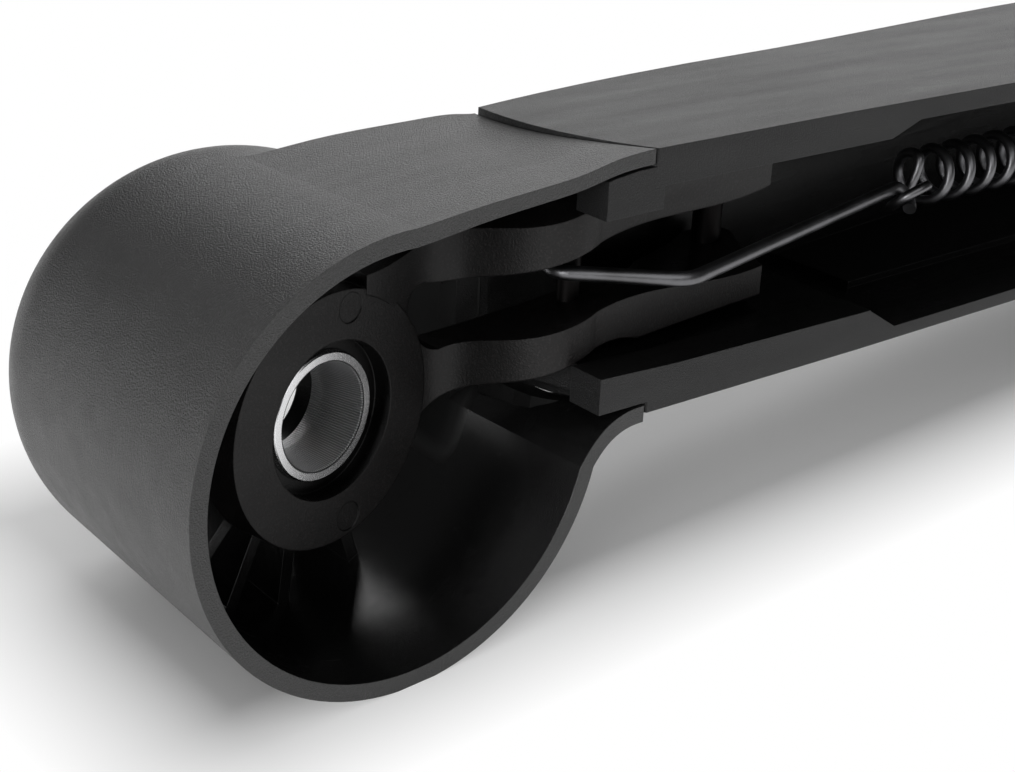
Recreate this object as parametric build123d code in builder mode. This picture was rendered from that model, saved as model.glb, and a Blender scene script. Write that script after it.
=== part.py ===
"""Head end and arm of a rear window wiper, lying on its side with the glass side open.

X runs along the arm to the tip, Y from the glass side to the domed back, Z across the arm.
The origin is on the spindle axis, half way along the straight stretch of the insert's bore.
Millimetres.  Stations are measured along X from the head's axis, depths along Y from the rim.
"""
import os
from math import cos, radians, sin, tan

from build123d import *

os.makedirs("parts", exist_ok=True)

# Spindle insert and its seat
TILT = 12.0             # the spindle axis leans this much from the rim's normal
TAPER_MOUTH_R = 5.12    # fluted cone for an M8 wiper spindle
LAND_R = 4.5
INSERT_R = 6.0
TAPER_LENGTH = 4.6
LAND_LENGTH = 1.3
EDGE_CHAMFER = 0.15     # inner and outer edge of the insert's face
SEAT_DEPTH = 13.0       # from the rim down to the insert's face, on the axis
FACE_STEP = 1.2         # the disc's face stands this far out from the insert
GROOVE_R = 7.35
GROOVE_BELOW = 0.7
DISC_R = 11.9
DISC_PLATE = 4.2
BOSS_R = 8.6
FLOOR = 2.1             # web of the carrier behind the insert
NUT_HOLE_R = 4.75
EJECTOR_R = 1.4
EJECTOR_STEP = 0.12

# Head cover
HEAD_R = 21.0
HEAD_WALL = 1.6
BACK_WALL = 2.0
DRAFT = 1.6             # degrees, all the cover's walls
DOME_BACK = 38.5        # depth of the back on the head's axis
DOME_TILT = 9.0         # the back slopes towards the arm
DOME_FILLET = 9.5
NUT_ACCESS_R = 16.2
NECK_TOP = 23.85        # top edge at the arm
NECK_END_LOW = -2.0
NECK_END = 25.9         # station of the neck's lower end
NECK_RISE_S = 20.6      # the top edge passes this station at this level
NECK_RISE = 23.42
NECK_WALL = 1.35        # top wall of the neck
NECK_DRAFT = 0.3        # degrees, the neck's top and low walls
NECK_DEPTH = 27.0       # depth of the far section that the neck is lofted to
WEB_ANGLES = (118, 180, 222, 242, 262, 290)
WEB_INNER_R = 9.4
WEB_THICK = 1.3
WEB_END = 28.0
TONGUE_END = 30.9
TONGUE_THICK = 1.8
TONGUE_RISE = 1.4       # its end lies this much deeper than its root

# Carrier legs
LEG_TIP = 48.5          # station where the legs' glass-side flank ends
LEG_EYE_R = 2.9         # round the pivot
LEG_MARK_R = 0.75
LEG_MARK_S = 28.1
LEG_MARK_Z = 15.5
LEG_MARK_DEPTH = 5.3

# Arm
ARM_TOP = 23.8
ARM_LOW = -1.2
ARM_LENGTH = 300.0      # station of the tip's end
ARM_BACK_START = 18.6   # depth of the back where the arm begins
BEND_S = 120.0          # the side walls close in faster beyond this station
TOP_FALL = 0.55
LOW_RISE = 0.6
TIP_TOP = 17.6
TIP_LOW = 5.0
CHEEK_TOP = 20.3        # inner faces of the thick cheeks round the pivot
CHEEK_LOW = 2.6
CHEEK_END = 56.6
CHAMFER_END = 60.6
TOP_WALL = 2.0
LOW_WALL = 1.4
BACK_PLATE = 1.9
END_WALL = 2.0
PLATE_START = 32.0
LEDGE_START = 65.0      # the low wall is thicker beyond this station, deep in the channel
LEDGE_DEPTH = 10.2
LEDGE = 0.8
LIP_DEPTH = 4.0
RUNG_LOW = 18.1         # underside of the block tucked into the cover
RUNG_START = 20.0
RUNG_END = 26.6
LOW_LIP_START = 20.6
LOW_LIP_TOP = 3.4
TUCK = 0.3              # clearance of what is tucked under the cover's walls

# Pivot, link and spring
PIVOT_S = 49.3
PIVOT_D = 16.6
PIVOT_R = 1.5
PIVOT_SKIN = 1.2        # of the top wall, left over the pin's end
SPLIT_R = 28.96         # end of the arm, round the pivot
LOW_SPLIT_R = 28.2
SPLIT_GAP = 0.3
RUNNING = 0.05          # radial clearance of a pin in its hole
LINK_PIN_S = 24.2
LINK_PIN_D = 9.2
LINK_PIN_R = 1.1
LINK_PIN_LOW = 4.6
LINK_PIN_LENGTH = 11.6
WIRE_R = 0.7
LINK_DROP = 41.7        # degrees, from the anchor to the knee
LINK_CLIMB = 13.5       # degrees, from the knee to the spring
LINK_FIRST = 9.3
LINK_SECOND = 38.5
KNEE_R = 3.2
LOOP_R = 2.3
SPRING_WIRE_R = 0.55
SPRING_R = 2.75
SPRING_PITCH = 3.6
SPRING_START = 75.0
SPRING_TURNS = 15
SPRING_D = 11.4
SPRING_TAIL = 8.6       # from the last coil to the anchor pin
PULL_Z = 10.6           # level of the link and spring across the arm
HOOK_LEAN = 40.0        # degrees, the link's end hook leans towards the glass
HOOK_PLAY = 0.2        # between the two wires where they hook together
SPRING_PIN_R = 1.5
SPRING_PIN_LOW = 0.7
SPRING_PIN_LENGTH = 21.0
BLADE_BORE_R = 2.0      # cross bore through the tip's two ears
BLADE_FROM_TIP = 10.0
BLADE_DEPTH = 5.2

LAND_MID = TAPER_LENGTH + LAND_LENGTH / 2
NX = -sin(radians(TILT))
NY = cos(radians(TILT))
HEAD_X = -NX * LAND_MID
RIM_Y = -NY * LAND_MID - SEAT_DEPTH
WALL_SHIFT = tan(radians(DRAFT))
NECK_SHIFT = tan(radians(NECK_DRAFT))
HEAD_IN = NECK_DEPTH * WALL_SHIFT
NECK_IN = NECK_DEPTH * NECK_SHIFT
LAP = NECK_END_LOW + HEAD_WALL + TUCK   # underside of the arm where it lies inside the neck
PIVOT_LENGTH = ARM_TOP - ARM_LOW - PIVOT_SKIN
SPRING_PIN_S = SPRING_START + SPRING_PITCH * SPRING_TURNS + SPRING_TAIL
BLADE_S = ARM_LENGTH - BLADE_FROM_TIP
FAR = 60.0


def depth_plane(depth):
    """Plane parallel to the rim; local x is the station, local y is Z, and minus goes deeper."""
    return Plane(origin=(HEAD_X, RIM_Y + depth, 0), x_dir=(1, 0, 0), z_dir=(0, -1, 0))


def level_plane(level):
    """Plane across Z; local x is the station and local y the depth."""
    return Plane(origin=(HEAD_X, RIM_Y, level), x_dir=(1, 0, 0), z_dir=(0, 0, 1))


def on_level(station, depth, level):
    """Point at a station and depth, at a level across the arm."""
    return Vector(HEAD_X + station, RIM_Y + depth, level)


def hub_plane(height):
    """Plane across the spindle axis, height towards the dome; minus goes to the dome."""
    return Plane(origin=(NX * height, NY * height, 0), x_dir=(NY, -NX, 0), z_dir=(-NX, -NY, 0))


FACE_H = -LAND_MID - FACE_STEP
DISC_BACK_H = FACE_H + DISC_PLATE
HOLE_TOP_H = LAND_LENGTH / 2


def neck_outline(round_in, top_in, low_in):
    """Closed outline of the cover's neck, drawn in at the round head, the top and the low side."""
    top = NECK_TOP - top_in
    low = NECK_END_LOW + low_in
    radius = HEAD_R - round_in
    leave = (radius * cos(radians(-44)), radius * sin(radians(-44)))
    with BuildLine() as outline:
        upper = Spline(
            (0, radius), (6, 21.7 - (round_in + top_in) / 2), (14, 22.38 - top_in),
            (17.6, 22.82 - top_in), (NECK_RISE_S, NECK_RISE - top_in), (NECK_END + 1, top),
            tangents=((1, 0.1), (1, 0.03)),
        )
        end = Line(upper @ 1, (NECK_END + 1, low))
        heel = Line(end @ 1, (NECK_END, low))
        throat = (18.9 - round_in * 0.85, -7.4 + round_in * 0.4)
        hollow = Spline(heel @ 1, throat, tangents=((-1, 0.0), (-0.53, -0.85)))
        lower = Spline(hollow @ 1, leave, tangents=((-0.53, -0.85), (-0.69, -0.72)))
        chin = Line(lower @ 1, (0, -radius * 0.6))
        Line(chin @ 1, (0, radius))
    return outline.line


def neck_back(inset):
    """Side profile of the neck: its back falls gently from the head, then steeply to the arm."""
    flat = ARM_BACK_START - 0.2 - inset
    with BuildLine() as profile:
        rim = Line((-1, -1), (NECK_END + 3, -1))
        end = Line(rim @ 1, (NECK_END + 3, flat))
        run = Line(end @ 1, (21.2, flat))
        fall = Spline(run @ 1, (19.0, 20.1 - inset), (15.6, 22.05 - inset), tangents=((-1, 0), (-1, 0.25)))
        slope = Line(fall @ 1, (-1, 26.2 - inset))
        Line(slope @ 1, (-1, -1))
    return profile.line


def split_depth_s(depth, radius):
    """Station where a split round the pivot crosses a depth."""
    return PIVOT_S - (radius ** 2 - (depth - PIVOT_D) ** 2) ** 0.5


def back_line(inset):
    """Points of the arm's back from the end of the cheeks to the tip."""
    return [
        (37, 20.95 - inset), (66, 22.95 - inset), (112, 27.2 - inset), (175, 24.5 - inset),
        (ARM_LENGTH, 9.5 - inset),
    ]


def side_profile():
    """Side view of the arm: flat on the glass side, its back rising and then falling to the tip."""
    low_corner = (split_depth_s(0, SPLIT_R), 0)
    high_corner = (split_depth_s(ARM_BACK_START, SPLIT_R), ARM_BACK_START)
    with BuildLine() as profile:
        ThreePointArc(low_corner, (PIVOT_S - SPLIT_R, PIVOT_D), high_corner)
        back = Spline(high_corner, *back_line(0))
        tip = Line(back @ 1, (ARM_LENGTH, 1.5))
        glass = Line(tip @ 1, (BEND_S, 0))
        Line(glass @ 1, low_corner)
    return profile.line


def front_view():
    """Outline of the arm from the glass side."""
    return [
        (0, ARM_LOW), (55, ARM_LOW), (BEND_S, ARM_LOW + LOW_RISE), (ARM_LENGTH, TIP_LOW),
        (ARM_LENGTH, TIP_TOP), (BEND_S, ARM_TOP - TOP_FALL), (50, ARM_TOP), (0, ARM_TOP),
    ]


def back_plane(inset):
    """Sloping plane of the dome's back, moved in by an inset; plus goes out of the back."""
    lean = radians(DOME_TILT)
    return Plane(
        origin=(HEAD_X, RIM_Y + DOME_BACK - inset, 0), x_dir=(0, 0, 1), z_dir=(sin(lean), cos(lean), 0)
    )


def round_head(mouth, inset, radius):
    """Drafted round head with a rounded, sloping back, drawn in by an inset."""
    with BuildPart() as blank:
        with BuildSketch(level_plane(0)):
            Polygon(
                (0, mouth), (HEAD_R - inset - mouth * WALL_SHIFT, mouth),
                (HEAD_R - inset - FAR * WALL_SHIFT, FAR), (0, FAR), align=None,
            )
        revolve(axis=Axis((HEAD_X, 0, 0), (0, 1, 0)))
        with BuildSketch(back_plane(BACK_WALL if inset > 0 else 0)):
            Circle(FAR)
        extrude(amount=FAR, mode=Mode.SUBTRACT)
        fillet(blank.edges().sort_by(Axis.Y)[-1], radius=radius)
    return blank.part


# Room inside the head cover, first the round head and then the neck
head_room = round_head(-1, HEAD_WALL, DOME_FILLET - BACK_WALL)

with BuildPart() as neck_room:
    with BuildSketch(depth_plane(-1)):
        add(neck_outline(HEAD_WALL - WALL_SHIFT, NECK_WALL - NECK_SHIFT, HEAD_WALL - NECK_SHIFT))
        make_face()
    with BuildSketch(depth_plane(NECK_DEPTH)):
        add(neck_outline(HEAD_WALL + HEAD_IN, NECK_WALL + NECK_IN, HEAD_WALL + NECK_IN))
        make_face()
    loft()
    with BuildSketch(level_plane(-40)):
        add(neck_back(BACK_WALL))
        make_face()
    extrude(amount=80, mode=Mode.INTERSECT)

# Webs behind the hub's disc, cut flat by the plane of the disc's back
with BuildPart() as cover_webs:
    for angle in WEB_ANGLES:
        middle = ((HEAD_R + WEB_INNER_R) / 2, 0)
        with BuildSketch(depth_plane(8)):
            with Locations(Rotation(0, 0, angle)):
                with Locations(middle):
                    Rectangle(HEAD_R - WEB_INNER_R, WEB_THICK)
        extrude(amount=-FAR)
    with BuildSketch(hub_plane(DISC_BACK_H)):
        Circle(FAR)
    extrude(amount=FAR, mode=Mode.SUBTRACT)
    with BuildSketch(hub_plane(DISC_BACK_H - 20)):
        Circle(BOSS_R + 0.5)
    extrude(amount=-FAR, mode=Mode.SUBTRACT)
    with BuildSketch(depth_plane(WEB_END)):
        Circle(HEAD_R)
    extrude(amount=-FAR, mode=Mode.SUBTRACT)
    add(head_room, mode=Mode.INTERSECT)

with BuildPart() as neck_shape:
    with BuildSketch(depth_plane(0)):
        add(neck_outline(0, 0, 0))
        make_face()
    with BuildSketch(depth_plane(NECK_DEPTH)):
        add(neck_outline(HEAD_IN, NECK_IN, NECK_IN))
        make_face()
    loft()
    with BuildSketch(level_plane(-40)):
        add(neck_back(0))
        make_face()
    extrude(amount=80, mode=Mode.INTERSECT)

with BuildPart() as head_cover:
    add(round_head(0, 0, DOME_FILLET))
    add(neck_shape.part)
    add(head_room, mode=Mode.SUBTRACT)
    add(neck_room.part, mode=Mode.SUBTRACT)
    # the split round the pivot, further out on the low wall than above it
    with BuildSketch(level_plane(LAP - TUCK / 2)):
        with Locations((PIVOT_S, PIVOT_D)):
            Circle(SPLIT_R + SPLIT_GAP)
    extrude(amount=40, mode=Mode.SUBTRACT)
    with BuildSketch(level_plane(-10)):
        with Locations((PIVOT_S, PIVOT_D)):
            Circle(LOW_SPLIT_R + SPLIT_GAP)
    extrude(amount=40, mode=Mode.SUBTRACT)
    # tongue that closes the back between the arm's cheeks
    inner_back = ARM_BACK_START - TONGUE_THICK
    with BuildSketch(level_plane(CHEEK_LOW + 0.7)):
        Polygon(
            (17.5, inner_back + 3.1), (20.2, ARM_BACK_START), (21.5, ARM_BACK_START),
            (TONGUE_END, ARM_BACK_START + TONGUE_RISE), (TONGUE_END, inner_back + TONGUE_RISE),
            (21, inner_back), (17.5, inner_back + 0.4), align=None,
        )
    extrude(amount=CHEEK_TOP - CHEEK_LOW - 1.1)
    add(cover_webs.part)
    # way through the back to the spindle nut
    with BuildSketch(depth_plane(WEB_END)):
        Circle(NUT_ACCESS_R)
    extrude(amount=-FAR, mode=Mode.SUBTRACT)
head_cover.part.label = "head_cover"

# Hub carrier: the legs' outline from the glass side, then from the side
leg_end = PIVOT_S + LEG_EYE_R
with BuildPart() as leg_shape:
    with BuildSketch(depth_plane(0)):
        with BuildLine():
            top_edge = Spline((4, 12.6), (13.7, 14.4), (21.5, 17.4), (28.5, 19.6), (33, 19.9))
            top_run = Line(top_edge @ 1, (leg_end, 19.9))
            top_end = Line(top_run @ 1, (leg_end, 16.0))
            top_inner = Spline(
                top_end @ 1, (36, 14.6), (21.2, 13.4), (17.4, 11.5), (13.9, 9.75), (12.4, 9.7),
            )
            slot_end = Spline(
                top_inner @ 1, (9.6, 8.4), (9.6, 7.0), (10.9, 4.6), (12.1, 3.45), (13.3, 3.1),
            )
            low_inner = Spline(
                slot_end @ 1, (17.4, 5.2), (21.2, 6.9), (34.5, 7.5), (leg_end, 7.3),
            )
            low_end = Line(low_inner @ 1, (leg_end, 3.6))
            low_run = Line(low_end @ 1, (30, 3.5))
            low_edge = Spline(low_run @ 1, (21.5, 3.3), (15.5, -0.2), (11.0, -3.3), (4, -6))
            Line(low_edge @ 1, (4, 12.6))
        make_face()
    extrude(amount=-FAR)
    with BuildSketch(level_plane(-20)):
        with BuildLine():
            near = Spline(
                (2, 12.3), (8, 13.5), (13.2, 14.2), (17.4, 8.0), (20.2, 4.9), (24, 4.8),
            )
            flank = Spline(near @ 1, (34.5, 6.2), (LEG_TIP, 7.7))
            nose = Line(flank @ 1, (leg_end, PIVOT_D))
            crown = Line(nose @ 1, (PIVOT_S - 0.46 * LEG_EYE_R, PIVOT_D + 0.89 * LEG_EYE_R))
            stop = Line(crown @ 1, (37, 14.1))
            belly = Spline(
                stop @ 1, (32.5, 11.6), (27, 11.0), (22.5, 11.3), (19.5, 12.8), (13, 18.2),
            )
            back_run = Line(belly @ 1, (2, 16.0))
            Line(back_run @ 1, near @ 0)
        make_face()
        with Locations((PIVOT_S, PIVOT_D)):
            Circle(LEG_EYE_R)
    extrude(amount=50, mode=Mode.INTERSECT)
    with BuildSketch(hub_plane(FACE_H)):
        Circle(DISC_R - 0.5)
    extrude(amount=FAR, mode=Mode.SUBTRACT)

with BuildPart() as hub_carrier:
    with BuildSketch(hub_plane(FACE_H)):
        Circle(DISC_R)
    extrude(amount=-DISC_PLATE)
    with BuildSketch(hub_plane(DISC_BACK_H)):
        Circle(BOSS_R)
    extrude(amount=-(HOLE_TOP_H + FLOOR - DISC_BACK_H))
    add(leg_shape.part)
    with BuildSketch(hub_plane(FACE_H - FAR)):
        Circle(GROOVE_R)
    extrude(amount=-FAR - FACE_STEP - GROOVE_BELOW, mode=Mode.SUBTRACT)
    with BuildSketch(hub_plane(FACE_H)):
        Circle(INSERT_R)
    extrude(amount=FACE_H - HOLE_TOP_H, mode=Mode.SUBTRACT)
    with BuildSketch(hub_plane(HOLE_TOP_H)):
        Circle(NUT_HOLE_R)
    extrude(amount=-FLOOR - 1, mode=Mode.SUBTRACT)
    with BuildSketch(hub_plane(FACE_H)):
        with Locations((2, 10), (2, -10)):
            Circle(EJECTOR_R)
    extrude(amount=-EJECTOR_STEP, mode=Mode.SUBTRACT)
    # holes for the pivot pin and the link's anchor pin
    with BuildSketch(level_plane(-10)):
        with Locations((PIVOT_S, PIVOT_D)):
            Circle(PIVOT_R + RUNNING)
    extrude(amount=50, mode=Mode.SUBTRACT)
    with BuildSketch(level_plane(LINK_PIN_LOW)):
        with Locations((LINK_PIN_S, LINK_PIN_D)):
            Circle(LINK_PIN_R)
    extrude(amount=LINK_PIN_LENGTH, mode=Mode.SUBTRACT)
    # round mark on the upper leg's flank
    with BuildSketch(depth_plane(0)):
        with Locations((LEG_MARK_S, LEG_MARK_Z)):
            Circle(LEG_MARK_R)
    extrude(amount=-LEG_MARK_DEPTH, mode=Mode.SUBTRACT)
hub_carrier.part.label = "hub_carrier"

# Spindle insert
with BuildPart() as spindle_insert:
    with BuildSketch(Plane(origin=(0, 0, 0), x_dir=(NY, -NX, 0), z_dir=(0, 0, 1))):
        with BuildLine():
            Polyline(
                (LAND_R, -LAND_LENGTH / 2), (TAPER_MOUTH_R - EDGE_CHAMFER, -LAND_MID + EDGE_CHAMFER),
                (TAPER_MOUTH_R, -LAND_MID), (INSERT_R - EDGE_CHAMFER, -LAND_MID),
                (INSERT_R, -LAND_MID + EDGE_CHAMFER), (INSERT_R, LAND_LENGTH / 2),
                (LAND_R, LAND_LENGTH / 2), close=True,
            )
        make_face()
    revolve(axis=Axis((0, 0, 0), (NX, NY, 0)))
spindle_insert.part.label = "spindle_insert"

# Arm: the room between its walls leaves thick cheeks round the pivot and a ledge further on
low_inner_z = ARM_LOW + LOW_WALL
tip_inner = ARM_LENGTH - END_WALL
back_start = split_depth_s(ARM_BACK_START, SPLIT_R)
with BuildPart() as arm_room:
    with BuildSketch(depth_plane(-1)):
        Polygon(
            (0, CHEEK_LOW), (CHEEK_END, CHEEK_LOW), (CHAMFER_END, low_inner_z),
            (BEND_S, low_inner_z + LOW_RISE), (tip_inner, TIP_LOW + LOW_WALL),
            (tip_inner, TIP_TOP - TOP_WALL), (BEND_S, ARM_TOP - TOP_FALL - TOP_WALL),
            (CHAMFER_END, ARM_TOP - 0.1 - TOP_WALL), (CHEEK_END, CHEEK_TOP), (0, CHEEK_TOP),
            align=None,
        )
    extrude(amount=-FAR)
    with BuildSketch(depth_plane(LEDGE_DEPTH)):
        Polygon(
            (LEDGE_START, ARM_LOW), (LEDGE_START, low_inner_z + LEDGE),
            (BEND_S, low_inner_z + LOW_RISE + LEDGE), (ARM_LENGTH, TIP_LOW + LOW_WALL + LEDGE),
            (ARM_LENGTH, ARM_LOW), align=None,
        )
    extrude(amount=-FAR, mode=Mode.SUBTRACT)
    with BuildSketch(level_plane(-10)):
        with BuildLine():
            lead = Line((0, ARM_BACK_START - BACK_PLATE), (back_start, ARM_BACK_START - BACK_PLATE))
            deep = Spline(lead @ 1, *back_line(BACK_PLATE))
            far_end = Line(deep @ 1, (ARM_LENGTH, -5))
            open_side = Line(far_end @ 1, (0, -5))
            Line(open_side @ 1, lead @ 0)
        make_face()
    extrude(amount=60, mode=Mode.INTERSECT)

with BuildPart() as arm_channel:
    with BuildSketch(depth_plane(-1)):
        Polygon(*front_view(), align=None)
    extrude(amount=-FAR)
    with BuildSketch(level_plane(-10)):
        add(side_profile())
        make_face()
    extrude(amount=50, mode=Mode.INTERSECT)
    add(arm_room.part, mode=Mode.SUBTRACT)
    # the back plate starts behind the cover's tongue
    with BuildSketch(level_plane(CHEEK_LOW)):
        Polygon((0, 10), (PLATE_START, 10), (PLATE_START, 40), (0, 40), align=None)
    extrude(amount=CHEEK_TOP - CHEEK_LOW, mode=Mode.SUBTRACT)
    # the low wall's outer skin ends short of the cover's neck
    with BuildSketch(level_plane(ARM_LOW - 1)):
        Rectangle(PIVOT_S, 80, align=(Align.MIN, Align.CENTER))
        with Locations((PIVOT_S, PIVOT_D)):
            Circle(LOW_SPLIT_R, mode=Mode.SUBTRACT)
    extrude(amount=LAP - ARM_LOW + 1, mode=Mode.SUBTRACT)
    # blocks of the glass-side edge, tucked into the cover
    neck_inner = NECK_WALL + TUCK
    with BuildSketch(depth_plane(0)):
        Polygon(
            (RUNG_START, RUNG_LOW), (RUNG_END, RUNG_LOW + 0.1), (RUNG_END, NECK_TOP - neck_inner),
            (23.3, NECK_TOP - neck_inner - 0.1), (NECK_RISE_S, NECK_RISE - neck_inner),
            (RUNG_START, NECK_RISE - neck_inner - 0.15), align=None,
        )
        Polygon(
            (LOW_LIP_START, LAP), (LOW_LIP_START, LOW_LIP_TOP), (30, 3.0),
            (CHEEK_END, 2.7), (CHEEK_END, LAP), align=None,
        )
    extrude(amount=-LIP_DEPTH)
    # blind seat for the pivot pin in the top cheek, open below
    with BuildSketch(level_plane(ARM_LOW - 1)):
        with Locations((PIVOT_S, PIVOT_D)):
            Circle(PIVOT_R)
    extrude(amount=PIVOT_LENGTH + 1, mode=Mode.SUBTRACT)
    with BuildSketch(level_plane(-10)):
        with Locations((BLADE_S, BLADE_DEPTH)):
            Circle(BLADE_BORE_R)
    extrude(amount=50, mode=Mode.SUBTRACT)
    with BuildSketch(level_plane(SPRING_PIN_LOW)):
        with Locations((SPRING_PIN_S, SPRING_D)):
            Circle(SPRING_PIN_R)
    extrude(amount=SPRING_PIN_LENGTH, mode=Mode.SUBTRACT)
arm_channel.part.label = "arm_channel"

with BuildPart() as pivot_pin:
    with BuildSketch(level_plane(ARM_LOW)):
        with Locations((PIVOT_S, PIVOT_D)):
            Circle(PIVOT_R)
    extrude(amount=PIVOT_LENGTH)
pivot_pin.part.label = "pivot_pin"

with BuildPart() as link_anchor_pin:
    with BuildSketch(level_plane(LINK_PIN_LOW)):
        with Locations((LINK_PIN_S, LINK_PIN_D)):
            Circle(LINK_PIN_R)
    extrude(amount=LINK_PIN_LENGTH)
link_anchor_pin.part.label = "link_anchor_pin"

with BuildPart() as spring_anchor_pin:
    with BuildSketch(level_plane(SPRING_PIN_LOW)):
        with Locations((SPRING_PIN_S, SPRING_D)):
            Circle(SPRING_PIN_R)
    extrude(amount=SPRING_PIN_LENGTH)
spring_anchor_pin.part.label = "spring_anchor_pin"

# Link wire: a hook round the anchor pin, a knee clear of the pivot, and a hook for the spring
hook_r = LINK_PIN_R + RUNNING + WIRE_R
end_r = WIRE_R + SPRING_WIRE_R + HOOK_PLAY
with BuildPart() as link_hook:
    with BuildLine() as link_path:
        pin_centre = on_level(LINK_PIN_S, LINK_PIN_D, PULL_Z)
        round_pin = CenterArc(pin_centre, hook_r, 110 - LINK_DROP, 160)
        drop = Line(round_pin @ 1, (round_pin @ 1) + (round_pin % 1) * LINK_FIRST)
        knee_chord = 2 * KNEE_R * sin(radians((LINK_DROP + LINK_CLIMB) / 2))
        knee_lean = radians((LINK_CLIMB - LINK_DROP) / 2)
        knee_end = (drop @ 1) + Vector(knee_chord * cos(knee_lean), knee_chord * sin(knee_lean))
        knee = TangentArc(drop @ 1, knee_end, tangent=drop % 1)
        reach = Line(knee @ 1, (knee @ 1) + (knee % 1) * LINK_SECOND)
        lean = radians(HOOK_LEAN)
        bend = (reach % 1).rotate(Axis.Z, -90) * sin(lean) - Vector(0, 0, cos(lean))
        hook_mid = (reach @ 1) + bend * end_r
        ThreePointArc(
            reach @ 1, hook_mid + (reach % 1) * end_r,
            hook_mid + (bend * cos(radians(30)) + (reach % 1) * sin(radians(30))) * end_r,
        )
    with BuildSketch(Plane(origin=link_path.line @ 0, z_dir=link_path.line % 0)):
        Circle(WIRE_R)
    sweep()
link_hook.part.label = "link_hook"

# Tension spring: a loop through the link's hook, the coils, and a hook round its anchor pin
along = (reach % 1) * LOOP_R
across = (reach % 1).cross(bend) * LOOP_R
with BuildPart() as tension_spring:
    with BuildLine() as spring_path:
        coil = Helix(
            pitch=SPRING_PITCH, height=SPRING_PITCH * SPRING_TURNS, radius=SPRING_R,
            center=on_level(SPRING_START, SPRING_D, PULL_Z), direction=(1, 0, 0), lefthand=True,
        )
        loop = ThreePointArc(hook_mid + along - across, hook_mid, hook_mid + along + across)
        Spline(loop @ 1, coil @ 0, tangents=(loop % 1, coil % 0))
        pin_r = SPRING_PIN_R + RUNNING + SPRING_WIRE_R
        pin_x = HEAD_X + SPRING_PIN_S
        pin_y = RIM_Y + SPRING_D
        round_end = ThreePointArc(
            (pin_x, pin_y + pin_r, PULL_Z), (pin_x + pin_r, pin_y, PULL_Z),
            (pin_x - 0.6 * pin_r, pin_y - 0.8 * pin_r, PULL_Z),
        )
        Spline(coil @ 1, round_end @ 0, tangents=(coil % 1, round_end % 0))
    with BuildSketch(Plane(origin=loop @ 0, z_dir=loop % 0)):
        Circle(SPRING_WIRE_R)
    sweep(path=spring_path.wire())
tension_spring.part.label = "tension_spring"

pieces = (
    head_cover, hub_carrier, spindle_insert, arm_channel, pivot_pin, link_anchor_pin, link_hook,
    tension_spring, spring_anchor_pin,
)
for piece in pieces:
    print(piece.part.label, len(piece.part.solids()), round(piece.part.volume, 1))
    export_step(piece.part, "parts/" + piece.part.label + ".step")
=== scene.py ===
from math import pi, radians

import bmesh
import bpy
from mathutils import Matrix, Vector


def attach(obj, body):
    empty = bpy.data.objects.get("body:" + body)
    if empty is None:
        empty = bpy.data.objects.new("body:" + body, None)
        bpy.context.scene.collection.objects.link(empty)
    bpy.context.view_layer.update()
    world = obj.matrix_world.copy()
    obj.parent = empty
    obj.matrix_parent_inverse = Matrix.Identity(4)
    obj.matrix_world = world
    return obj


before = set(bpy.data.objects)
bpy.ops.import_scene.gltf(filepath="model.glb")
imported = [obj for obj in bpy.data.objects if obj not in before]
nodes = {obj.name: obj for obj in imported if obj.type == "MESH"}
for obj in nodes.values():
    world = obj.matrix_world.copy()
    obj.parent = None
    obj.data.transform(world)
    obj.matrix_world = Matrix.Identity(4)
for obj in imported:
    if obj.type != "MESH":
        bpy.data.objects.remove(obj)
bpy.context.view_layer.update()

# Lengths are in metres, except where a name or comment says millimetres
MM = 0.001
HUB_TILT = radians(12)          # the spindle's axis leans this far from +Y

# Hollows in the mouldings, found by how open a place is to its surroundings
WALL_REACH = 0.06
ENCLOSED_TO_OPEN = (0.6, 0.92)
HOLLOW_SHADE_TONE = 0.15              # painted shade: share of the dark base colour left in the hollows
HOLLOW_ROUGHNESS = 0.6          # share of the roughness in the open
HOLLOW_GRAIN = 0.1              # share of the grain in the open
SHADING_SAMPLES = 6             # rays for each hollow and each softened edge

# Walls deep in the neck's mouth turn dull over these stretches
THROAT_X = (0.0165, 0.0180)
THROAT_Y = (-0.003, -0.001)
THROAT_ROUGHNESS = 0.95

# Tones beside the main colour: pale specks in the grain, worn spots on a pin
SPECK_TONE = 3.2
WORN_TONE = 0.82

# Spindle seat, as radii from its axis: its cone, and the painted shade line round the cone's
# mouth
CONE_RISE, CONE_FALL = (0.0043, 0.0047), (0.00505, 0.0052)
SHADE_LINE_RISE, SHADE_LINE_FALL = (0.00500, 0.00508), (0.00514, 0.00522)
SHADE_LINE_COLOUR = (0.12, 0.12, 0.12)
GROOVE_SHADE_TONE = 0.5               # painted shade: share of the metal's colour left between two flutes

# Stretches of noise that draw it out into rings round Y, and into streaks along X
RING_STRETCH = (0.02, 1.0, 0.02)
SHEEN_STRETCH = (0.25, 1.6, 1.6)
SCUFF_STRETCH = (0.05, 0.5, 1.0)

# Near-black strip under the arm's tail, a dark sheet put in the slot as painted shade, in
# millimetres: (y, where its end stands in x) along the split
SHADE_STRIP_SECTIONS = (
    (-13.4, 25.2), (-12, 24.4), (-10.5, 23.2), (-9, 22.4),
    (-7, 22.1), (-5.5, 22.0), (-4, 21.8), (-2.4, 21.5))
# Corners of each section as (x from its end, z)
SHADE_STRIP_CORNERS = ((-1.1, -3.1), (-0.2, -2.2), (1.0, -1.75), (1.0, -1.36), (-0.9, -1.36))

FLOOR_SIZE = 6
FLOOR_Z = -0.021
FLOOR_SLOPE = 0.055             # the head's side and the arm's tip both lie on the floor
PAPER_COLOUR = (0.86, 0.86, 0.86)
PAPER_ROUGHNESS, PAPER_SPECULAR = 0.8, 0.2
# Round this rectangle on the floor, its plain white takes over from the shaded paper
SHADED_MIDDLE = (0.14, 0.01, 0)
SHADED_HALF = (0.152, 0.021, 0)
SHADED_FADE = 0.017

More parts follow.
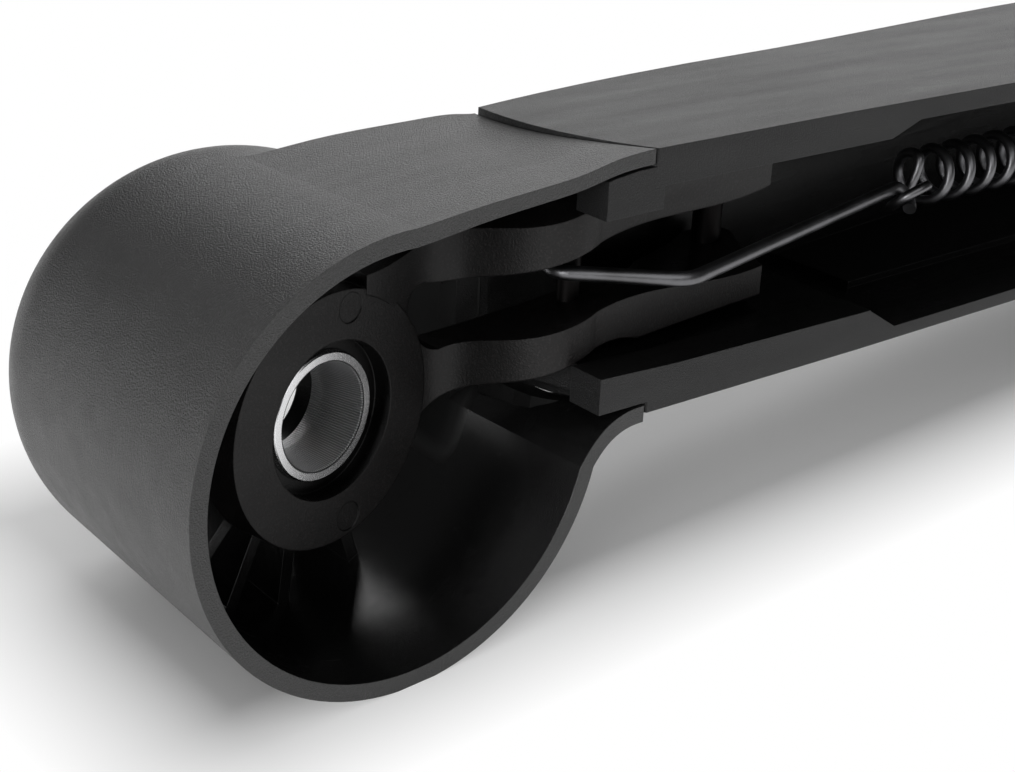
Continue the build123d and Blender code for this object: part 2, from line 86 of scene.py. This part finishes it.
SURROUNDINGS = 0.06             # strength of the even light from all sides
# Lamps: name, place, what it points at, width and height, brightness of its face
LAMPS = (
    ("behind", (0.52, 0.48, 0.42), (0.03, 0, 0), (0.8, 0.6), 1.85),
    ("left", (-0.65, -0.18, 0.14), (0, 0, 0), (0.45, 0.3), 6.0),
    ("top", (0.0, 0.05, 0.60), (0.03, 0, 0), (0.6, 0.4), 1.2),
    ("front", (-0.2, -0.5, 0.5), (0.03, 0, 0), (0.9, 0.6), 1.1))

# Camera, as the photograph was taken
CAMERA_PLACE = (-0.08420, -0.13151, 0.06771)
CAMERA_RIGHT = (0.7771, -0.6278, 0.0442)
CAMERA_UP = (0.2127, 0.3281, 0.9204)
LENS_MM, SENSOR_MM = 67.39, 36
CLIP_START = 0.005


def scaled(colour, share):
    return tuple(share * part for part in colour)


def new_material(name):
    mat = bpy.data.materials.new(name)
    mat.use_nodes = True
    tree = mat.node_tree
    return mat, tree, tree.nodes["Principled BSDF"]


def add(tree, kind, **values):
    """Adds a node and sets its inputs, or else its settings, by their names."""
    node = tree.nodes.new(kind)
    for key, value in values.items():
        if key in node.inputs:
            node.inputs[key].default_value = value
        else:
            setattr(node, key, value)
    return node


def feed(tree, socket, value):
    """Links an output into a socket, or sets a plain value on it."""
    if isinstance(value, bpy.types.NodeSocket):
        tree.links.new(value, socket)
    else:
        socket.default_value = value


def maths(tree, operation, *terms):
    node = add(tree, "ShaderNodeMath", operation=operation)
    for socket, term in zip(node.inputs, terms):
        feed(tree, socket, term)
    return node.outputs[0]


def vector_maths(tree, operation, *terms):
    node = add(tree, "ShaderNodeVectorMath", operation=operation)
    for socket, term in zip(node.inputs, terms):
        feed(tree, socket, term)
    return node.outputs["Value" if operation == "LENGTH" else "Vector"]


def split(tree, vector):
    node = add(tree, "ShaderNodeSeparateXYZ")
    tree.links.new(vector, node.inputs[0])
    return node.outputs


def object_coords(tree):
    return add(tree, "ShaderNodeTexCoord").outputs["Object"]


def mapped(tree, coords, **values):
    node = add(tree, "ShaderNodeMapping", **values)
    tree.links.new(coords, node.inputs["Vector"])
    return node.outputs["Vector"]


def ramp(tree, source, span=(0, 1), result=(0, 1)):
    """Maps source from span to result, clamped."""
    node = add(tree, "ShaderNodeMapRange", clamp=True)
    node.inputs["From Min"].default_value, node.inputs["From Max"].default_value = span
    node.inputs["To Min"].default_value, node.inputs["To Max"].default_value = result
    tree.links.new(source, node.inputs["Value"])
    return node.outputs["Result"]


def band(tree, source, rise, fall):
    """1 between a rise and a fall of source, 0 outside."""
    return maths(tree, "MULTIPLY", ramp(tree, source, span=rise),
                 ramp(tree, source, span=fall, result=(1, 0)))


def noise(tree, coords, scale, detail=2.0, roughness=0.5, stretch=None):
    """Noise over object coordinates, scale in features per metre."""
    if stretch:
        coords = mapped(tree, coords, Scale=stretch)
    node = add(tree, "ShaderNodeTexNoise", Scale=scale, Detail=detail, Roughness=roughness)
    tree.links.new(coords, node.inputs["Vector"])
    return node.outputs["Fac"]


def mix_colour(tree, factor, first, second):
    """Mixes two colours by factor, each an output or three numbers."""
    node = add(tree, "ShaderNodeMix", data_type="RGBA")
    for name, colour in (("A", first), ("B", second)):
        plain = isinstance(colour, tuple)
        feed(tree, node.inputs[name], (*colour, 1) if plain else colour)
    tree.links.new(factor, node.inputs["Factor"])
    return node.outputs["Result"]


def bump(tree, height, depth, strength, normal=None):
    node = add(tree, "ShaderNodeBump", Distance=depth)
    feed(tree, node.inputs["Strength"], strength)
    tree.links.new(height, node.inputs["Height"])
    if normal:
        tree.links.new(normal, node.inputs["Normal"])
    return node.outputs["Normal"]


def grained_plastic(name, dark, pale, roughness, grain, height, scuff, edge, ior, throat=False):
    """Black moulded plastic: etched grain, slow tone drift, faint scuffs, soft edges,
    and smoother hollows with painted shade in them. With throat, the walls deep in the neck's
    mouth are dull."""
    mat, tree, shader = new_material(name)
    coords = object_coords(tree)
    around = add(tree, "ShaderNodeAmbientOcclusion",
                 samples=SHADING_SAMPLES, only_local=True, Distance=WALL_REACH)
    openness = ramp(tree, around.outputs["AO"], span=ENCLOSED_TO_OPEN)

    drift = noise(tree, coords, scale=55, detail=4.0, roughness=0.6)
    fine = noise(tree, coords, scale=grain, detail=3.0, roughness=0.6)
    skin = mix_colour(tree, ramp(tree, drift, span=(0.35, 0.7)), dark, pale)
    specks = ramp(tree, fine, span=(0.52, 0.68), result=(0, 0.8))
    speckled = mix_colour(tree, specks, skin, scaled(pale, SPECK_TONE))
    # Painted shade: the base colour darkens in the hollows, the more enclosed the darker
    colour = mix_colour(tree, openness, scaled(dark, HOLLOW_SHADE_TONE), speckled)
    tree.links.new(colour, shader.inputs["Base Color"])

    broad = noise(tree, coords, scale=210, stretch=SHEEN_STRETCH)
    rough = maths(tree, "MULTIPLY", ramp(tree, broad, span=(0.3, 0.75), result=roughness),
                  ramp(tree, openness, result=(HOLLOW_ROUGHNESS, 1.0)))
    if throat:
        place = split(tree, coords)
        deep = maths(tree, "MULTIPLY",
                     ramp(tree, place["X"], span=THROAT_X), ramp(tree, place["Y"], span=THROAT_Y))
        dull = maths(tree, "MULTIPLY", deep, ramp(tree, openness, result=(THROAT_ROUGHNESS, 0)))
        rough = maths(tree, "MAXIMUM", rough, dull)
    tree.links.new(rough, shader.inputs["Roughness"])

    scuffs = noise(tree, coords, scale=900, roughness=0.4, stretch=SCUFF_STRETCH)
    scuffs = ramp(tree, scuffs, span=(0.62, 0.75), result=(0, scuff))
    rounded = add(tree, "ShaderNodeBevel", samples=SHADING_SAMPLES, Radius=edge)
    grained = bump(tree, fine, depth=height, normal=rounded.outputs["Normal"],
                   strength=ramp(tree, openness, result=(HOLLOW_GRAIN, 1.0)))
    scuffed = bump(tree, scuffs, depth=0.00002, strength=0.4, normal=grained)
    tree.links.new(scuffed, shader.inputs["Normal"])
    shader.inputs["IOR"].default_value = ior
    return mat


def fluted_seat(name, colour, flutes, depth):
    """Bright turned sleeve: fine flutes run down its cone with painted shade between them,
    tool rings cross them, and a line of painted shade runs round the cone's mouth."""
    mat, tree, shader = new_material(name)
    shader.inputs["Metallic"].default_value = 1.0
    coords = object_coords(tree)
    turned = mapped(tree, coords, Rotation=(0, 0, -HUB_TILT))
    place = split(tree, turned)

    angle = maths(tree, "ARCTAN2", place["Z"], place["X"])
    wave = maths(tree, "SINE", maths(tree, "MULTIPLY", angle, flutes))
    flat = add(tree, "ShaderNodeCombineXYZ")
    for side in ("X", "Z"):
        tree.links.new(place[side], flat.inputs[side])
    radius = vector_maths(tree, "LENGTH", flat.outputs[0])
    cone = band(tree, radius, CONE_RISE, CONE_FALL)
    line = band(tree, radius, SHADE_LINE_RISE, SHADE_LINE_FALL)
    ridges = maths(tree, "MULTIPLY", wave, cone)

    # Painted shade between the flutes, and a painted shade line round the cone's mouth
    groove_shaded = mix_colour(
        tree, ramp(tree, ridges, span=(-0.95, 0.1)), scaled(colour, GROOVE_SHADE_TONE), colour)
    tree.links.new(mix_colour(tree, line, groove_shaded, SHADE_LINE_COLOUR), shader.inputs["Base Color"])

    dust = noise(tree, coords, scale=12000, roughness=0.6)
    rough = maths(tree, "ADD", ramp(tree, dust, span=(0.3, 0.7), result=(0.22, 0.28)),
                  ramp(tree, cone, result=(0, 0.16)))
    tree.links.new(rough, shader.inputs["Roughness"])

    rings = noise(tree, turned, scale=9000, stretch=RING_STRETCH)
    drift = noise(tree, coords, scale=400, detail=3.0)
    fluted = bump(tree, ridges, depth=depth, strength=1.0)
    ringed = bump(tree, rings, depth=0.00003, strength=0.8, normal=fluted)
    uneven = bump(tree, drift, depth=0.000008, strength=0.3, normal=ringed)
    tree.links.new(uneven, shader.inputs["Normal"])
    return mat


def turned_metal(name, colour, roughness):
    """Ground pin: tool rings round its axis, which is Z, with slow tone drift."""
    mat, tree, shader = new_material(name)
    shader.inputs["Metallic"].default_value = 1.0
    coords = object_coords(tree)
    turned = mapped(tree, coords, Rotation=(radians(90), 0, 0))
    drift = noise(tree, coords, scale=300, detail=3.0)
    tree.links.new(
        mix_colour(tree, drift, scaled(colour, WORN_TONE), colour), shader.inputs["Base Color"])
    rough = ramp(tree, drift, span=(0.3, 0.7), result=roughness)
    tree.links.new(rough, shader.inputs["Roughness"])
    rings = noise(tree, turned, scale=6000, stretch=RING_STRETCH)
    tree.links.new(bump(tree, rings, depth=0.00001, strength=0.6), shader.inputs["Normal"])
    return mat


def wire_metal(name, dark, pale, roughness):
    """Drawn wire with a thin dark coat, a little paler in places."""
    mat, tree, shader = new_material(name)
    shader.inputs["Metallic"].default_value = 1.0
    coords = object_coords(tree)
    wear = noise(tree, coords, scale=500, detail=3.0)
    worn = ramp(tree, wear, span=(0.3, 0.7))
    tree.links.new(mix_colour(tree, worn, dark, pale), shader.inputs["Base Color"])
    rough = ramp(tree, wear, span=(0.3, 0.7), result=roughness)
    tree.links.new(rough, shader.inputs["Roughness"])
    marks = noise(tree, coords, scale=5000)
    tree.links.new(bump(tree, marks, depth=0.000008, strength=0.3), shader.inputs["Normal"])
    return mat


def dress(node, mat):
    for place in nodes[node].material_slots:
        place.material = mat


dress("head_cover", grained_plastic(
    "cover_plastic", dark=(0.007, 0.007, 0.0072), pale=(0.014, 0.0137, 0.0137),
    roughness=(0.33, 0.42), grain=6000, height=0.00018, scuff=1.0, edge=0.00012, ior=1.7,
    throat=True))
dress("arm_channel", grained_plastic(
    "arm_plastic", dark=(0.006, 0.006, 0.0062), pale=(0.010, 0.010, 0.0102),
    roughness=(0.38, 0.48), grain=6400, height=0.00010, scuff=0.8, edge=0.00012, ior=1.40))
dress("hub_carrier", grained_plastic(
    "carrier_plastic", dark=(0.005, 0.0045, 0.0045), pale=(0.009, 0.008, 0.008),
    roughness=(0.42, 0.52), grain=4600, height=0.00005, scuff=0.6, edge=0.0002, ior=1.40))
dress("spindle_insert", fluted_seat(
    "turned_aluminium", colour=(0.93, 0.93, 0.94), flutes=132, depth=0.00008))
for pin in ("pivot_pin", "link_anchor_pin", "spring_anchor_pin"):
    dress(pin, turned_metal(
        pin + "_steel", colour=(0.012, 0.011, 0.011), roughness=(0.4, 0.5)))
dress("link_hook", wire_metal(
    "link_wire", dark=(0.15, 0.15, 0.155), pale=(0.20, 0.20, 0.21), roughness=(0.34, 0.42)))
dress("tension_spring", wire_metal(
    "spring_wire", dark=(0.15, 0.15, 0.155), pale=(0.21, 0.21, 0.22), roughness=(0.32, 0.40)))

# Thin near-black strip which closes the slot under the arm's tail along the split: a dark sheet
# standing in for the shade in that slot
shade_strip_mesh = bmesh.new()
rows = [
    [shade_strip_mesh.verts.new(((end + x) * MM, y * MM, z * MM)) for x, z in SHADE_STRIP_CORNERS]
    for y, end in SHADE_STRIP_SECTIONS]
for near, far in zip(rows, rows[1:]):
    for i in range(len(SHADE_STRIP_CORNERS)):
        shade_strip_mesh.faces.new((near[i - 1], near[i], far[i], far[i - 1]))
shade_strip_mesh.faces.new(rows[0][::-1])
shade_strip_mesh.faces.new(rows[-1])
bmesh.ops.recalc_face_normals(shade_strip_mesh, faces=shade_strip_mesh.faces)
shade_strip_data = bpy.data.meshes.new("painted_shade_strip")
shade_strip_mesh.to_mesh(shade_strip_data)
shade_strip_mesh.free()
shade_strip = bpy.data.objects.new("painted_shade_strip", shade_strip_data)
bpy.context.scene.collection.objects.link(shade_strip)
# Painted shade: the strip is near-black so that it reads as shade
shade_strip_data.materials.append(grained_plastic(
    "shade_strip_plastic", dark=(0.001, 0.001, 0.001), pale=(0.002, 0.002, 0.002),
    roughness=(0.5, 0.6), grain=5600, height=0.00004, scuff=0.5, edge=0.0001, ior=1.25))
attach(shade_strip, "head")

# Floor: shaded paper under and round the object, plain white further out
bpy.ops.mesh.primitive_plane_add(size=FLOOR_SIZE, location=(0, 0, FLOOR_Z))
floor = bpy.context.object
floor.name = "floor"
floor.rotation_euler = (0, -FLOOR_SLOPE, 0)
floor_mat, tree, paper = new_material("floor_paper")
paper.inputs["Base Color"].default_value = (*PAPER_COLOUR, 1)
paper.inputs["Roughness"].default_value = PAPER_ROUGHNESS
paper.inputs["Specular IOR Level"].default_value = PAPER_SPECULAR
from_middle = vector_maths(tree, "SUBTRACT", object_coords(tree), SHADED_MIDDLE)
past_edge = vector_maths(
    tree, "SUBTRACT", vector_maths(tree, "ABSOLUTE", from_middle), SHADED_HALF)
reach = vector_maths(tree, "LENGTH", vector_maths(tree, "MAXIMUM", past_edge))
outer = ramp(tree, reach, span=(0, SHADED_FADE))
rays = add(tree, "ShaderNodeLightPath").outputs
seen = maths(tree, "MAXIMUM", rays["Is Camera Ray"], rays["Is Glossy Ray"])
seen = maths(tree, "MAXIMUM", seen, rays["Is Transmission Ray"])
white = add(tree, "ShaderNodeEmission", Strength=1.0)
blend = add(tree, "ShaderNodeMixShader")
tree.links.new(maths(tree, "MULTIPLY", seen, outer), blend.inputs["Fac"])
tree.links.new(paper.outputs["BSDF"], blend.inputs[1])
tree.links.new(white.outputs["Emission"], blend.inputs[2])
tree.links.new(blend.outputs["Shader"], tree.nodes["Material Output"].inputs["Surface"])
floor.data.materials.append(floor_mat)

# Light: dim even surroundings, and broad lamps behind, at the left, overhead and in front
world = bpy.data.worlds.new("studio")
bpy.context.scene.world = world
world.use_nodes = True
surroundings = world.node_tree.nodes["Background"]
surroundings.inputs["Color"].default_value = (1, 1, 1, 1)
surroundings.inputs["Strength"].default_value = SURROUNDINGS
for name, where, aim, (width, length), radiance in LAMPS:
    lamp_data = bpy.data.lights.new(name, "AREA")
    lamp_data.shape = "RECTANGLE"
    lamp_data.size, lamp_data.size_y = width, length
    lamp_data.energy = radiance * pi * width * length
    lamp = bpy.data.objects.new(name, lamp_data)
    lamp.location = where
    lamp.rotation_euler = (Vector(aim) - Vector(where)).to_track_quat("-Z", "Y").to_euler()
    bpy.context.scene.collection.objects.link(lamp)

right, up = Vector(CAMERA_RIGHT), Vector(CAMERA_UP)
turn = Matrix((right, up, right.cross(up))).transposed()
camera_data = bpy.data.cameras.new("camera")
camera_data.lens = LENS_MM
camera_data.sensor_width = SENSOR_MM
camera_data.clip_start = CLIP_START
camera = bpy.data.objects.new("camera", camera_data)
camera.matrix_world = Matrix.Translation(CAMERA_PLACE) @ turn.to_4x4()
bpy.context.scene.collection.objects.link(camera)
bpy.context.scene.camera = camera
bpy.context.scene.view_settings.view_transform = "Standard"
